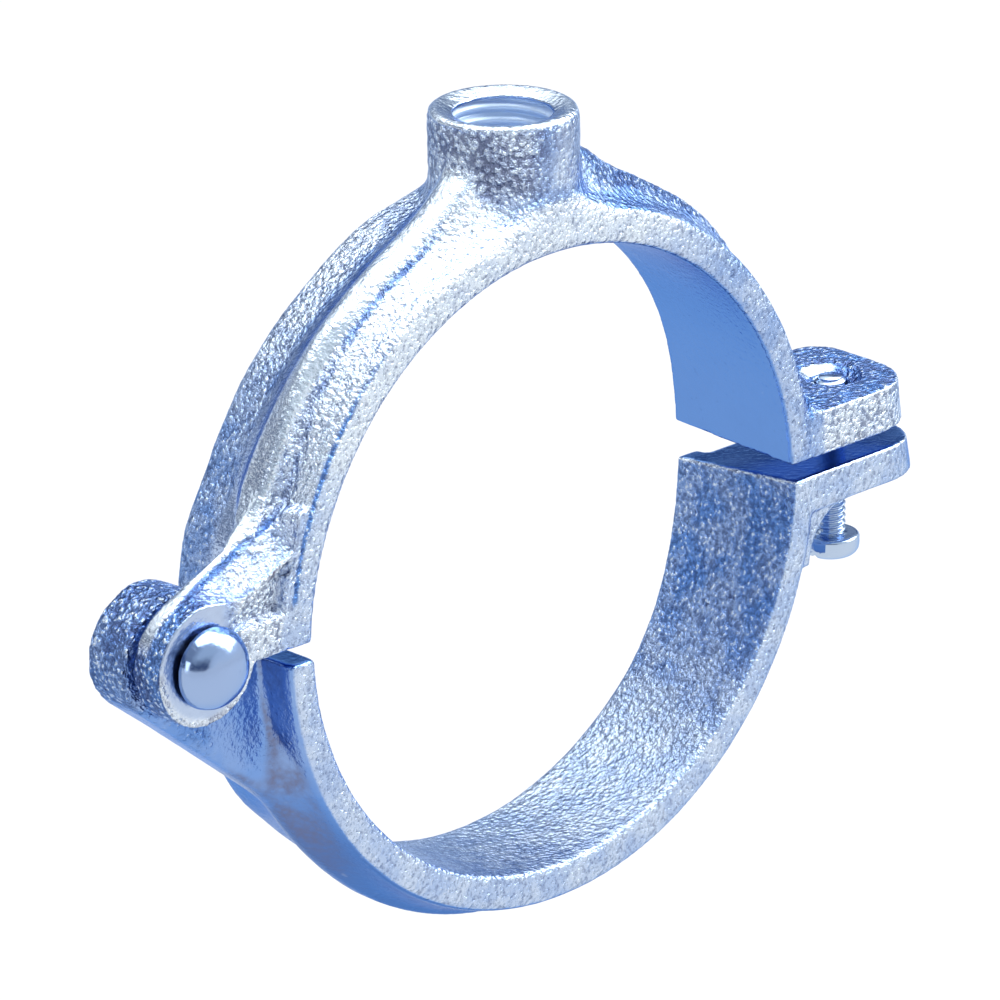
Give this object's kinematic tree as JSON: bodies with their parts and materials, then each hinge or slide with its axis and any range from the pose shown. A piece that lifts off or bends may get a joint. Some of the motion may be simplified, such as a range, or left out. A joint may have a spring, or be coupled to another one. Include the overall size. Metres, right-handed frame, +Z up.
{
  "type": "split ring hanger",
  "caption": "Hinged split ring pipe hanger with a tapped rod boss on top and a clamp screw through its side ears.",
  "frame": {"origin": "centre of the top face of the boss, on the axis of the tapped rod hole", "axes": "+Z up along the rod, Y along the axis of the pipe with the domed rivet head towards -Y, +X from the hinge to the clamp screw"},
  "size_m": [0.1209, 0.0229, 0.0936],
  "materials": {
    "zinc_casting": "bright zinc plated malleable casting with a sandy grain and a blue tint",
    "bright_zinc": "bright zinc plated, smooth and glossy"
  },
  "bodies": {
    "upper": {"upper_half_ring": "zinc_casting", "hinge_rivet": "bright_zinc"},
    "lower": {"lower_half_ring": "zinc_casting"},
    "screw": {"clamp_screw": "bright_zinc"}
  },
  "joints": [
    {"name": "ring_hinge", "type": "hinge", "parent": "upper", "child": "lower", "pos_m": [-0.0523, 0, -0.0482], "axis": [0, 1, 0], "range_deg": [0, 110]},
    {"name": "screw_travel", "type": "slide", "parent": "lower", "child": "screw", "axis": [0, 0, -1], "range_m": [-0.0076, 0.0048]}
  ]
}
